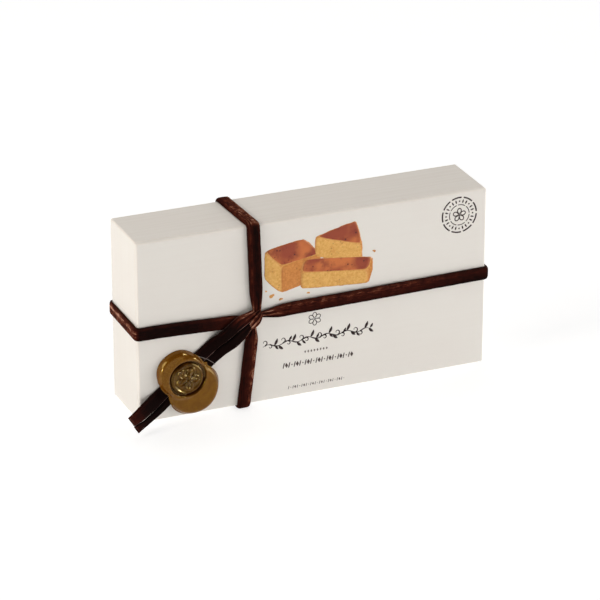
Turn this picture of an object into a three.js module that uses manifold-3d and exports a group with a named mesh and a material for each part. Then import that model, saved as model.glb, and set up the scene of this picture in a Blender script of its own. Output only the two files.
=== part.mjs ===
// A shut gift box of nougat: a shallow wooden tray with a flat lid panel, tied both ways with a
// narrow velvet ribbon whose two tails run under a stamped wax seal. It stands on its long side.
//
// Millimetres. +X runs along the box, -Y points out of the lid, +Z is up. While the pieces are
// made, the origin is at the middle of the box's underside. At the end the whole group moves, so
// that the origin is the bottom centre of everything, ribbon, seal and tails included.

import * as THREE from 'three';
import { mergeVertices } from 'three/addons/utils/BufferGeometryUtils.js';
import Module from 'manifold-3d';

const wasm = await Module();
wasm.setup();

const { degToRad, lerp, smoothstep } = THREE.MathUtils;

// The box
const BOX_LENGTH = 200;
const BOX_HEIGHT = 102;
const BOX_DEPTH = 39;
const LID_THICKNESS = 2.4;
const SEAM = 0.3; // gap between the lid and the tray
const EDGE_RADIUS = 1.1; // outer edges, rounded by hand sanding
const EDGE_STEPS = 8; // straight pieces in each quarter turn of an edge or a corner
const SEAM_EDGE = 0.25; // the barely broken edges beside the seam

// The ribbon
const RIBBON_WIDTH = 7.7;
const RIBBON_THICKNESS = 1.9; // with its pile up
const CLEARANCE = 0.3; // between a piece and what it lies on
const BAND_SPACING = 5; // between two sections of a band
const BEND_STEPS = 4; // straight pieces where a band bends round an edge of the box
const BAND_HEIGHT = 52; // of the long-way band, at the middle of the box
const BAND_TILT = 0.009; // how much it climbs for each millimetre towards +X

// The knot, where the bands meet on the lid
const KNOT_X = -35.4;
const KNOT_Z = 49.8;
const KNOT_LENGTH = 10.6;
const KNOT_LEAN = degToRad(34); // from upright, its top towards +X
const KNOT_HALF_WIDTH = 2.7;
const KNOT_RISE = 4.9; // out of the lid
const KNOT_FOLDS = 5;
const KNOT_FOLD_DEPTH = 0.1; // share of the section's radius
const KNOT_TWIST = 2.2; // radians along its length
const ARM_START = { left: 2, right: 3, upper: 3.2, lower: 2 }; // how far from its middle each arm begins in it
const ARM_LIFT = 0.7; // how far the knot holds the bands off the lid
const PRESSED = 1.2; // the ribbon's thickness where the knot and the tails press it

// The two tails, which run down and to the left from the knot
const TAIL_START_X = -37.5;
const TAIL_START_Z = 49.7;
const TAIL_ANGLE = degToRad(37.2); // below the horizontal
const TAIL_LENGTH = 82.5; // the upper one's; one slanting cut ends both
const TAIL_SLANT = 1; // how much further the lower one reaches
const TAIL_SPACING = 2.5; // between two sections of a tail
const TAIL_OVER_BANDS = 2.8; // how far they stand off the lid beside the knot
const TAIL_FREE_FROM = 62; // past here they leave the lid and curl out
const TAIL_CURL = 9.5; // how far out the ends stand
const TAIL_CURL_POWER = 1.3; // how the curl gathers towards the ends
const TAIL_SWERVE = 0.62; // how far they bend up for each millimetre that they stand out

// The wax seal: a stamped disc over a flatter puddle that ran out below it
const STAMP = { x: -73.8, z: 22.5, radius: 10.2 };
const SEAL_DISC = { x: -77.1, z: 25.2, radius: 13.1 };
const SEAL_PUDDLE = { x: -69.6, z: 14.9, radius: 14.6 };
const SEAL_BLEND = 0.6; // how far wax fills the notches between the two
const SEAL_THICKNESS = 3.4;
const SEAL_ROLL = 1.7; // radius of its rounded rim
const SEAL_UNDERCUT = 0.8; // how far the rim's foot is drawn in
const SEAL_SIDES = 80;
const RIM = { radius: 11.9, rise: 1, spread: 1.4 }; // wax pushed up round the stamp
const GROOVE = { radius: 9.7, depth: 1, spread: 0.9 };
const STAMP_FLOOR = 2.9; // height of the stamped field
const PETALS = 5;
const PETAL_RISE = 0.7;

// The thin thread that crosses the tails beside the seal
const THREAD_RADIUS = 0.2;

const FRONT = -BOX_DEPTH / 2;

// ---- Making closed solids ----

// The six-fold volume of a closed indexed geometry, negative where its faces point inwards.
function signedVolume(positions, index) {
  const a = new THREE.Vector3();
  const b = new THREE.Vector3();
  const c = new THREE.Vector3();
  let sum = 0;
  for (let corner = 0; corner < index.length; corner += 3) {
    a.fromArray(positions, index[corner] * 3);
    b.fromArray(positions, index[corner + 1] * 3);
    c.fromArray(positions, index[corner + 2] * 3);
    sum += a.dot(b.cross(c));
  }
  return sum;
}

// Skins a row of outlines, all with the same number of points, and closes both ends.
function loft(outlines) {
  const count = outlines[0].length;
  const positions = outlines.flat().flatMap((point) => point.toArray());
  const index = [];
  for (let row = 0; row + 1 < outlines.length; row += 1) {
    for (let column = 0; column < count; column += 1) {
      const here = row * count + column;
      const beside = row * count + ((column + 1) % count);
      index.push(here, beside, beside + count);
      index.push(here, beside + count, here + count);
    }
  }
  const addCap = (row, forwards) => {
    const centre = new THREE.Vector3();
    outlines[row].forEach((point) => centre.addScaledVector(point, 1 / count));
    const hub = positions.length / 3;
    positions.push(...centre.toArray());
    for (let column = 0; column < count; column += 1) {
      const here = row * count + column;
      const beside = row * count + ((column + 1) % count);
      index.push(hub, forwards ? here : beside, forwards ? beside : here);
    }
  };
  addCap(0, false);
  addCap(outlines.length - 1, true);
  if (signedVolume(positions, index) < 0) {
    index.reverse();
  }
  const geometry = new THREE.BufferGeometry();
  geometry.setAttribute('position', new THREE.Float32BufferAttribute(positions, 3));
  geometry.setIndex(index);
  return geometry;
}

function toSolid(geometry) {
  const merged = mergeVertices(geometry, 1e-4);
  const mesh = new wasm.Mesh({
    numProp: 3,
    vertProperties: merged.attributes.position.array,
    triVerts: Uint32Array.from(merged.index.array),
  });
  return new wasm.Manifold(mesh);
}

// What is left of a geometry when the cutters are taken out of it.
function cut(geometry, cutters) {
  const left = cutters.reduce((solid, cutter) => solid.subtract(toSolid(cutter)), toSolid(geometry));
  const mesh = left.getMesh();
  const result = new THREE.BufferGeometry();
  result.setAttribute('position', new THREE.BufferAttribute(mesh.vertProperties, 3));
  result.setIndex(new THREE.BufferAttribute(mesh.triVerts, 1));
  return result;
}

// ---- The box ----

// A rounded rectangle in the XZ plane, round the middle of the box's height.
function boxOutline(y, inset) {
  const radius = EDGE_RADIUS - inset;
  const reachX = BOX_LENGTH / 2 - EDGE_RADIUS;
  const reachZ = BOX_HEIGHT / 2 - EDGE_RADIUS;
  const signs = [[1, 1], [1, -1], [-1, -1], [-1, 1]];
  return signs.flatMap(([signX, signZ], corner) =>
    Array.from({ length: EDGE_STEPS + 1 }, (_, step) => {
      const angle = (corner + step / EDGE_STEPS) * (Math.PI / 2);
      const x = signX * reachX + radius * Math.sin(angle);
      const z = BOX_HEIGHT / 2 + signZ * reachZ + radius * Math.cos(angle);
      return new THREE.Vector3(x, y, z);
    }));
}

// Outlines that round an edge off: from its face, at y, to where the side runs straight.
// inwards is +1 where the solid lies on the +Y side of the face, and -1 on the other.
function roundedEdge(y, radius, inwards, steps) {
  return Array.from({ length: steps + 1 }, (_, step) => {
    const angle = (step / steps) * (Math.PI / 2);
    return boxOutline(y + inwards * radius * (1 - Math.cos(angle)), radius * (1 - Math.sin(angle)));
  });
}

function slab(yFront, yBack, frontRadius, frontSteps, backRadius, backSteps) {
  const front = roundedEdge(yFront, frontRadius, 1, frontSteps);
  const back = roundedEdge(yBack, backRadius, -1, backSteps);
  return loft([...front, ...back.reverse()]);
}

function makeLid() {
  return slab(FRONT, FRONT + LID_THICKNESS, EDGE_RADIUS - 0.05, EDGE_STEPS, SEAM_EDGE, 1);
}

function makeTray() {
  const yFront = FRONT + LID_THICKNESS + SEAM;
  return slab(yFront, BOX_DEPTH / 2, SEAM_EDGE, 1, EDGE_RADIUS - 0.05, EDGE_STEPS);
}

// ---- Straps ----

// A strap's section, flat inside and plump outside: [across, out], as shares of half its width and
// of its thickness, for one half. The other half mirrors it.
const HALF_SECTION = [[0.88, 0], [1, 0.25], [0.94, 0.62], [0.7, 0.9], [0.25, 1]];
const STRAP_SECTION = [...HALF_SECTION, ...HALF_SECTION.map(([side, depth]) => [-side, depth]).reverse()];

// A station is where the strap is: the middle of its inner face, the way out of that face, the
// width and the thickness. It may say which way is across, and otherwise that is square to its run.
// grow fattens the strap all round, to make a cutter of it.
function strap(stations, grow = 0) {
  const along = new THREE.Vector3();
  const out = new THREE.Vector3();
  const outlines = stations.map((station, place) => {
    const before = stations[Math.max(place - 1, 0)];
    const after = stations[Math.min(place + 1, stations.length - 1)];
    along.subVectors(after.point, before.point);
    const across = station.across ?? new THREE.Vector3().crossVectors(station.out, along).normalize();
    out.crossVectors(along, across).normalize();
    return STRAP_SECTION.map(([side, depth]) => {
      const sideways = side * (station.width / 2 + grow);
      const outwards = depth * (station.thickness + 2 * grow) - grow;
      return station.point.clone().addScaledVector(across, sideways).addScaledVector(out, outwards);
    });
  });
  return loft(outlines);
}

// A closed way round the box in the plane of a band, from and to a place on the lid. u runs
// along the lid and v out of its back, and the way first goes towards -u.
function girdle(reachU, reachV, from, to) {
  const radius = EDGE_RADIUS + CLEARANCE;
  const u = reachU + CLEARANCE - radius;
  const v = reachV + CLEARANCE - radius;
  const quarter = Math.PI / 2;
  const way = new THREE.Path();
  way.moveTo(from, -v - radius);
  way.lineTo(-u, -v - radius);
  way.absarc(-u, -v, radius, -quarter, -2 * quarter, true);
  way.lineTo(-u - radius, v);
  way.absarc(-u, v, radius, 2 * quarter, quarter, true);
  way.lineTo(u, v + radius);
  way.absarc(u, v, radius, quarter, 0, true);
  way.lineTo(u + radius, -v);
  way.absarc(u, -v, radius, 0, -quarter, true);
  way.lineTo(to, -v - radius);
  return way;
}

// Points with outward normals along a way made of lines and arcs.
function walk(way) {
  const places = [];
  for (const piece of way.curves.filter((curve) => curve.getLength() > CLEARANCE / 10)) {
    const straight = piece.isLineCurve === true;
    const steps = straight ? Math.ceil(piece.getLength() / BAND_SPACING) : BEND_STEPS;
    for (let step = places.length === 0 ? 0 : 1; step <= steps; step += 1) {
      const at = piece.getPoint(step / steps);
      const heading = piece.getTangent(step / steps);
      places.push({ u: at.x, v: at.y, outU: -heading.y, outV: heading.x });
    }
  }
  return places;
}

// What the knot does to an arm of a band on the lid, at a distance from the knot: it gathers the
// arm's width, presses it flat and holds it off the lid. gather is the least share of the width,
// and where the full width starts. length is the whole arm's, out to the edge of the lid.
function armStation(distance, gather, length) {
  return {
    width: RIBBON_WIDTH * lerp(gather.least, 1, smoothstep(distance, 1.5, gather.until)),
    thickness: lerp(PRESSED, RIBBON_THICKNESS, smoothstep(distance, 14, 26)),
    lift: ARM_LIFT * Math.max(1 - distance / length, 0),
  };
}

const FULL_STATION = { width: RIBBON_WIDTH, thickness: RIBBON_THICKNESS, lift: 0 };

// ---- The long-way band: round the ends of the box ----

const LEFT_ARM = { least: 0.6, until: 14, sag: 2 }; // the knot drags it down
const RIGHT_ARM = { least: 0.25, until: 19, sag: 0 };
const SAG_LENGTH = 60; // how far from the knot the sag reaches

function longWayStation({ u, v, outU, outV }) {
  const onLid = v < 0 && outV < -0.9;
  const arm = u < KNOT_X ? LEFT_ARM : RIGHT_ARM;
  const distance = Math.abs(u - KNOT_X);
  const length = BOX_LENGTH / 2 - Math.sign(u - KNOT_X) * KNOT_X;
  const { width, thickness, lift } = onLid ? armStation(distance, arm, length) : FULL_STATION;
  const sag = onLid ? arm.sag * (1 - smoothstep(distance, 0, SAG_LENGTH)) : 0;
  return {
    point: new THREE.Vector3(u, v - lift, BAND_HEIGHT + BAND_TILT * u - sag),
    out: new THREE.Vector3(outU, outV, 0),
    width,
    thickness,
  };
}

function longWayBand() {
  const way = girdle(BOX_LENGTH / 2, BOX_DEPTH / 2, KNOT_X - ARM_START.left, KNOT_X + ARM_START.right);
  return walk(way).map(longWayStation);
}

// ---- The short-way band: over the top, down the back and under the box ----

const UPPER_ARM = { foot: -33.4, edge: -35.1, least: 0.53, until: 17 }; // x at the knot and at the top edge
const LOWER_ARM = { foot: -34.4, edge: -41.2, least: 0.15, until: 21 }; // and at the bottom edge
const BACK_TOP_X = -36.6;
const BACK_BOTTOM_X = -40.4;
const CROSSING_LIFT = RIBBON_THICKNESS + CLEARANCE; // over the long-way band, on the back

function shortWayX(z, v, onBack) {
  if (onBack) {
    return lerp(BACK_BOTTOM_X, BACK_TOP_X, z / BOX_HEIGHT);
  }
  if (v < 0 && z > KNOT_Z && z < BOX_HEIGHT) {
    return lerp(UPPER_ARM.foot, UPPER_ARM.edge, (z - KNOT_Z) / (BOX_HEIGHT - KNOT_Z));
  }
  if (v < 0 && z < KNOT_Z && z > 0) {
    return lerp(LOWER_ARM.edge, LOWER_ARM.foot, z / KNOT_Z);
  }
  const back = v / BOX_DEPTH + 0.5;
  return z > KNOT_Z ? lerp(UPPER_ARM.edge, BACK_TOP_X, back) : lerp(LOWER_ARM.edge, BACK_BOTTOM_X, back);
}

function shortWayStation({ u, v, outU, outV }) {
  const z = BOX_HEIGHT / 2 - u;
  const onBack = outV > 0.9;
  const onLid = outV < -0.9;
  const arm = z > KNOT_Z ? UPPER_ARM : LOWER_ARM;
  const length = z > KNOT_Z ? BOX_HEIGHT - KNOT_Z : KNOT_Z;
  const { width, thickness, lift } = onLid ? armStation(Math.abs(z - KNOT_Z), arm, length) : FULL_STATION;
  const crossing = onBack ? CROSSING_LIFT * (1 - smoothstep(Math.abs(z - BAND_HEIGHT), 5, 16)) : 0;
  return {
    point: new THREE.Vector3(shortWayX(z, v, onBack), v - lift + crossing, z),
    out: new THREE.Vector3(0, outV, -outU),
    width,
    thickness,
  };
}

function shortWayBand() {
  const middle = BOX_HEIGHT / 2 - KNOT_Z;
  const way = girdle(BOX_HEIGHT / 2, BOX_DEPTH / 2, middle - ARM_START.upper, middle + ARM_START.lower);
  return walk(way).map(shortWayStation);
}

// ---- The knot ----

// A bunched wrap of ribbon with folds that twist along it, rounded outside and blunt at its foot.
function makeKnot(grow = 0) {
  const rows = 12;
  const sides = 20;
  const axis = new THREE.Vector3(-Math.sin(KNOT_LEAN), 0, -Math.cos(KNOT_LEAN));
  const across = new THREE.Vector3(-Math.cos(KNOT_LEAN), 0, Math.sin(KNOT_LEAN));
  const out = new THREE.Vector3(0, -1, 0);
  const outlines = Array.from({ length: rows + 1 }, (_, row) => {
    const place = (row / rows) * 2 - 1;
    const swell = Math.sqrt(1 - (0.93 * place) ** 2);
    const halfWidth = KNOT_HALF_WIDTH * swell + grow;
    const halfRise = (KNOT_RISE / 2) * lerp(0.45, 1, swell) + grow;
    const foot = new THREE.Vector3(KNOT_X, FRONT - CLEARANCE + grow, KNOT_Z);
    foot.addScaledVector(axis, place * (KNOT_LENGTH / 2 + grow));
    return Array.from({ length: sides }, (_unused, side) => {
      const angle = ((side + 0.5) / sides) * 2 * Math.PI;
      const fold = 1 - KNOT_FOLD_DEPTH * (0.5 - 0.5 * Math.cos(KNOT_FOLDS * angle + KNOT_TWIST * place));
      const bluntness = Math.sin(angle) < 0 ? 0.35 : 1;
      const sideways = Math.sign(Math.cos(angle)) * Math.abs(Math.cos(angle)) ** bluntness;
      const point = foot.clone().addScaledVector(across, halfWidth * fold * sideways);
      return point.addScaledVector(out, halfRise * (1 + fold * Math.sin(angle)));
    });
  });
  return loft(outlines);
}

// ---- The tails ----

const TAIL_ALONG = new THREE.Vector3(-Math.cos(TAIL_ANGLE), 0, -Math.sin(TAIL_ANGLE));
const TAIL_UP = new THREE.Vector3(-Math.sin(TAIL_ANGLE), 0, Math.cos(TAIL_ANGLE));
const TAIL_DOWN = TAIL_UP.clone().negate();

// How far a tail has curled out, from where it leaves the lid.
function tailCurl(distance) {
  const free = Math.max(distance - TAIL_FREE_FROM, 0) / (TAIL_LENGTH - TAIL_FREE_FROM);
  return TAIL_CURL * free ** TAIL_CURL_POWER;
}

// How far the inner face of a tail stands from the lid: over the bands beside the knot, down on
// the lid under the seal, and curling out at the end.
function tailStandOff(distance) {
  return lerp(TAIL_OVER_BANDS, CLEARANCE, smoothstep(distance, 14, 24)) + tailCurl(distance);
}

// Where the edges of the pair run, to the side of the line from the knot: the upper tail's upper
// edge, the gap between the tails, and the lower tail's lower edge. The knot gathers them, and
// below the seal the upper one half covers the lower one.
function tailEdges(distance) {
  const drift = 0.6 * smoothstep(distance, 18, 27) + 1.8 * smoothstep(distance, 44, 70);
  return {
    upper: lerp(3.9, 7.5, smoothstep(distance, -7, 6))
      - 0.7 * smoothstep(distance, 26, 61) - smoothstep(distance, 62, TAIL_LENGTH),
    gap: lerp(-0.3, 0.45, smoothstep(distance, 2, 10)) - drift + 1.35 * smoothstep(distance, 76, TAIL_LENGTH + 1),
    lower: -lerp(2.8, 5.95, smoothstep(distance, -3, 10)) + 0.35 * smoothstep(distance, 68, TAIL_LENGTH),
  };
}

// The wax has pressed the pile flat under the seal.
function tailThickness(distance) {
  const besideKnot = lerp(PRESSED, RIBBON_THICKNESS, smoothstep(distance, 2, 16));
  const underSeal = smoothstep(distance, 22, 28) * (1 - smoothstep(distance, 61, 66));
  return lerp(besideKnot, PRESSED, underSeal);
}

function tail(upper) {
  const first = upper ? -4 : 0; // under the knot
  const last = TAIL_LENGTH + (upper ? 0 : TAIL_SLANT);
  const steps = Math.ceil((last - first) / TAIL_SPACING);
  return Array.from({ length: steps + 1 }, (_, step) => {
    const distance = lerp(first, last, step / steps);
    const edges = tailEdges(distance);
    const inner = edges.gap + (upper ? CLEARANCE / 2 : -CLEARANCE / 2);
    const outer = upper ? edges.upper : edges.lower;
    const point = new THREE.Vector3(TAIL_START_X, FRONT - tailStandOff(distance), TAIL_START_Z);
    point.addScaledVector(TAIL_ALONG, distance);
    point.addScaledVector(TAIL_UP, TAIL_SWERVE * tailCurl(distance) + (inner + outer) / 2);
    const width = Math.abs(outer - inner);
    return { point, across: TAIL_DOWN, width, thickness: tailThickness(distance) };
  });
}

// The room that both tails take up together where they lie flat on the lid, under the seal.
function tailChannel() {
  return [24, TAIL_FREE_FROM + 2].map((distance) => {
    const point = new THREE.Vector3(TAIL_START_X, FRONT - CLEARANCE, TAIL_START_Z);
    point.addScaledVector(TAIL_ALONG, distance);
    point.addScaledVector(TAIL_UP, 0.7);
    return { point, across: TAIL_DOWN, width: 15, thickness: PRESSED };
  });
}

// ---- The wax seal ----

// How far a circle reaches from the middle of the stamp, in a direction.
function reach(circle, angle) {
  const x = circle.x - STAMP.x;
  const z = circle.z - STAMP.z;
  const along = x * Math.cos(angle) + z * Math.sin(angle);
  return along + Math.sqrt(circle.radius ** 2 - x * x - z * z + along * along);
}

// The seal's outline: the disc and the puddle run together, a little uneven.
function sealReach(angle) {
  const disc = reach(SEAL_DISC, angle);
  const puddle = reach(SEAL_PUDDLE, angle);
  const joined = (disc + puddle + Math.hypot(disc - puddle, 2 * SEAL_BLEND)) / 2;
  return joined + 0.25 * Math.sin(3 * angle + 0.7) + 0.15 * Math.sin(7 * angle + 2);
}

function bell(distance, ring) {
  return Math.exp(-(((distance - ring.radius) / ring.spread) ** 2));
}

// The stamped blossom: five petals round a small eye.
function blossom(distance, angle) {
  const petal = 3.2 + 3.9 * Math.abs(Math.cos((PETALS / 2) * angle)) ** 0.8;
  const petals = 1 - smoothstep(distance, petal - 0.9, petal + 0.5);
  const eye = 1 - smoothstep(distance, 1.4, 2.6);
  return PETAL_RISE * (petals - 0.6 * eye);
}

function sealHeight(distance, angle) {
  const inside = 1 - smoothstep(distance, GROOVE.radius - 1, GROOVE.radius + 0.6);
  const field = lerp(SEAL_THICKNESS, STAMP_FLOOR, inside) + inside * blossom(distance, angle);
  return field + RIM.rise * bell(distance, RIM) - GROOVE.depth * bell(distance, GROOVE);
}

// One ring of the seal's skin; place gives distance and height for each direction.
function sealRing(place) {
  return Array.from({ length: SEAL_SIDES }, (_, side) => {
    const angle = (side / SEAL_SIDES) * 2 * Math.PI;
    const { distance, height } = place(angle);
    const x = STAMP.x + distance * Math.cos(angle);
    const z = STAMP.z + distance * Math.sin(angle);
    return new THREE.Vector3(x, FRONT - CLEARANCE - height, z);
  });
}

function makeSeal() {
  const rings = [];
  const stampRings = 12;
  for (let ring = 1; ring <= stampRings; ring += 1) {
    const distance = (STAMP.radius * ring) / stampRings;
    rings.push(sealRing((angle) => ({ distance, height: sealHeight(distance, angle) })));
  }
  const outerRings = 5;
  for (let ring = 1; ring <= outerRings; ring += 1) {
    rings.push(sealRing((angle) => {
      const distance = lerp(STAMP.radius, sealReach(angle) - SEAL_ROLL, ring / outerRings);
      return { distance, height: sealHeight(distance, angle) };
    }));
  }
  const rollRings = 5;
  for (let ring = 1; ring <= rollRings; ring += 1) {
    const turn = (ring / rollRings) * (Math.PI / 2);
    rings.push(sealRing((angle) => {
      const shoulder = sealReach(angle) - SEAL_ROLL;
      const top = sealHeight(shoulder, angle);
      const distance = shoulder + SEAL_ROLL * Math.sin(turn);
      return { distance, height: lerp(top / 2, top, Math.cos(turn)) };
    }));
  }
  rings.push(sealRing((angle) => ({ distance: sealReach(angle) - SEAL_UNDERCUT, height: 0 })));
  return cut(loft(rings), [strap(tailChannel(), CLEARANCE)]);
}

// ---- The thread ----

function makeThread() {
  const top = FRONT - CLEARANCE - PRESSED - CLEARANCE - THREAD_RADIUS;
  const low = FRONT - CLEARANCE - THREAD_RADIUS;
  const route = new THREE.CatmullRomCurve3([
    new THREE.Vector3(-70.2, low, 38.3),
    new THREE.Vector3(-68.8, top, 37.3),
    new THREE.Vector3(-66.3, top, 34.9),
    new THREE.Vector3(-64, top, 32.7),
    new THREE.Vector3(-61.2, top, 30.6),
    new THREE.Vector3(-58.4, top, 28.2),
    new THREE.Vector3(-56.9, top, 26.5),
    new THREE.Vector3(-56.2, low, 25.4),
  ]);
  const section = new THREE.Shape().absarc(0, 0, THREAD_RADIUS, 0, 2 * Math.PI);
  return new THREE.ExtrudeGeometry(section, { steps: 16, curveSegments: 4, extrudePath: route, bevelEnabled: false });
}

// ---- The whole ----

function addPiece(group, name, geometry, look) {
  const piece = new THREE.Mesh(geometry, new THREE.MeshStandardMaterial(look));
  piece.name = name;
  group.add(piece);
}

const WOOD = { color: 0xe0dad2, roughness: 0.7, metalness: 0 };
const VELVET = { color: 0x2c1410, roughness: 0.95, metalness: 0 };
const WAX = { color: 0x7a5522, roughness: 0.35, metalness: 0.3 };
const THREAD = { color: 0x9a8f86, roughness: 0.6, metalness: 0 };

function makeGiftBox() {
  const group = new THREE.Group();
  const knotRoom = [makeKnot(CLEARANCE)];
  addPiece(group, 'box_tray', makeTray(), WOOD);
  addPiece(group, 'box_lid', makeLid(), WOOD);
  addPiece(group, 'ribbon_long_way', cut(strap(longWayBand()), knotRoom), VELVET);
  addPiece(group, 'ribbon_short_way', cut(strap(shortWayBand()), knotRoom), VELVET);
  addPiece(group, 'ribbon_knot', makeKnot(), VELVET);
  addPiece(group, 'ribbon_tail_upper', cut(strap(tail(true)), knotRoom), VELVET);
  addPiece(group, 'ribbon_tail_lower', cut(strap(tail(false)), knotRoom), VELVET);
  addPiece(group, 'wax_seal', makeSeal(), WAX);
  addPiece(group, 'seal_thread', makeThread(), THREAD);
  return group;
}

// Puts the origin at the bottom centre of all the pieces together.
function standOnOrigin(group) {
  const bounds = new THREE.Box3().setFromObject(group, true);
  const centre = bounds.getCenter(new THREE.Vector3());
  group.position.set(-centre.x, -centre.y, -bounds.min.z);
  return group;
}

export default standOnOrigin(makeGiftBox());
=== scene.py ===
# The looks of a shut gift box of nougat: white-washed wood, dark velvet ribbon, bronze wax and print.
#
# Lengths are millimetres in the box's own frame: x from the middle of the box, y back from the front
# of the lid, so that what lies on the lid has y below 0, and z up from the underside of the box.
# world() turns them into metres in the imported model's frame.

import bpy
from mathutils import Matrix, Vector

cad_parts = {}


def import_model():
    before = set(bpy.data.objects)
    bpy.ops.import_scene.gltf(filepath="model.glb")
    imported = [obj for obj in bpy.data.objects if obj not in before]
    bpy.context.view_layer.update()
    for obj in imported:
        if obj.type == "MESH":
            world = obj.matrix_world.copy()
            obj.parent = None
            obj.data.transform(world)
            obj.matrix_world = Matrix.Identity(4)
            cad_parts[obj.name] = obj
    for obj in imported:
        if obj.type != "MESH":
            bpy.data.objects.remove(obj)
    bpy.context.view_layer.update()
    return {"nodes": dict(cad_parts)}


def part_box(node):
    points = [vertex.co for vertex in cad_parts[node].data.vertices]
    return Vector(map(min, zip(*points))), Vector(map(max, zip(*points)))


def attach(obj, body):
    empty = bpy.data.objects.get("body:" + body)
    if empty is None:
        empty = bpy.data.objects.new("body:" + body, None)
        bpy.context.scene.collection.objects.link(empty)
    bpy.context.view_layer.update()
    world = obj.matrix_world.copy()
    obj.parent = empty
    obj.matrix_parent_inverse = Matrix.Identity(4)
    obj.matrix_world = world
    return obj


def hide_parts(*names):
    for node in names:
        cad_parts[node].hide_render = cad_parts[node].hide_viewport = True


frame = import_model()

import math

import bpy
import numpy as np
from mathutils import Vector, noise

MM = 0.001

LID_LOW, LID_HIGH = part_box("box_lid")
TRAY_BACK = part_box("box_tray")[1].y
BOX_LENGTH = (LID_HIGH.x - LID_LOW.x) / MM
BOX_HEIGHT = (LID_HIGH.z - LID_LOW.z) / MM
BOX_DEPTH = (TRAY_BACK - LID_LOW.y) / MM
BOX_ORIGIN = np.array([(LID_LOW.x + LID_HIGH.x) / 2, LID_LOW.y, LID_LOW.z])
EDGE_RADIUS = 1.1
MIDDLE_Y = BOX_DEPTH / 2

# The ribbon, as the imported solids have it
RIBBON_WIDTH = 7.7
RIBBON_THICKNESS = 1.9
PRESSED = 1.2  # its thickness under the seal and beside the knot
CLEARANCE = 0.3
BAND_HEIGHT = 52
BAND_TILT = 0.009
KNOT_X = -35.4
KNOT_Z = 49.8
ARM_LIFT = 0.7
ARM_START = {"left": 2, "right": 3, "upper": 3.2, "lower": 2}


# ---- Numbers ----

def lerp(start, end, share):
    return start + (end - start) * share


def smoothstep(value, low, high):
    share = np.clip((np.asarray(value, float) - low) / (high - low), 0, 1)
    return share * share * (3 - 2 * share)


def bell(distance, centre, spread):
    return np.exp(-(((distance - centre) / spread) ** 2))


def unit(vectors):
    return vectors / np.maximum(np.linalg.norm(vectors, axis=-1, keepdims=True), 1e-9)


def turned(points, angle):
    x, y = np.asarray(points, float).T
    return np.stack([x * math.cos(angle) - y * math.sin(angle), x * math.sin(angle) + y * math.cos(angle)], -1)


def heading(angle):
    """One step in the direction of an angle, as two numbers."""
    return np.stack([np.cos(angle), np.sin(angle)], -1)


def reached(points):
    """How far along a line each of its points lies."""
    return np.concatenate([[0], np.cumsum(np.linalg.norm(np.diff(points, axis=0), axis=1))])


def world(points):
    return np.asarray(points, float) * MM + BOX_ORIGIN


def lumps(points, size, seed):
    """Smooth noise from about -1 to 1 at each point, in lumps of about the given size."""
    shift = Vector((seed * 17.3, seed * 5.1, seed * 9.7))
    return np.array([noise.noise(Vector(point) / size + shift) for point in points])


def uneven(points, layers, seed):
    """Lumps on lumps: each layer has a depth and a size."""
    return sum(depth * lumps(points, size, seed + number) for number, (depth, size) in enumerate(layers))


# ---- Meshes ----

def add_mesh(name, points, faces, materials, kinds=None, marks=None):
    """A piece that rides on the box. kinds says which material each face has. marks holds a number
    for each point, under names that the materials read."""
    mesh = bpy.data.meshes.new(name)
    mesh.from_pydata(world(points).tolist(), [], faces)
    for material in materials:
        mesh.materials.append(material)
    if kinds is not None:
        mesh.polygons.foreach_set("material_index", np.asarray(kinds, np.int32))
    mesh.polygons.foreach_set("use_smooth", np.full(len(mesh.polygons), True))
    for mark, values in (marks or {}).items():
        layer = mesh.attributes.new(mark, "FLOAT", "POINT")
        layer.data.foreach_set("value", np.asarray(values, np.float32).ravel())
    mesh.validate()
    mesh.update()
    piece = bpy.data.objects.new(name, mesh)
    bpy.context.scene.collection.objects.link(piece)
    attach(piece, "root")
    return piece


def grid_faces(rows, columns):
    """Quads between rings of points; each ring is closed."""
    row = np.arange(rows - 1)[:, None] * columns
    column = np.arange(columns)[None]
    beside, below = (column + 1) % columns, row + columns
    corners = np.stack([row + column, row + beside, below + beside, below + column], -1)
    return [tuple(face) for face in corners.reshape(-1, 4).tolist()]


def tube_faces(rows, columns):
    """The same, with a flat cap on either end."""
    end = (rows - 1) * columns
    return grid_faces(rows, columns) + [tuple(range(columns)), tuple(reversed(range(end, end + columns)))]


def lens_faces(rows, columns):
    """The same, closed by fans to two hubs, whose points come after those of the rings."""
    end, hub = (rows - 1) * columns, rows * columns
    faces = grid_faces(rows, columns)
    for side in range(columns):
        beside = (side + 1) % columns
        faces += [(hub, beside, side), (hub + 1, end + side, end + beside)]
    return faces


def outward(points, faces):
    """The faces of a closed skin, turned so that they look out."""
    points = np.asarray(points)
    volume = sum(np.dot(points[first], np.cross(points[second], points[third]))
                 for first, *rest in faces for second, third in zip(rest, rest[1:]))
    return faces if volume > 0 else [face[::-1] for face in faces]


# ---- Material nodes ----

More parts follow.
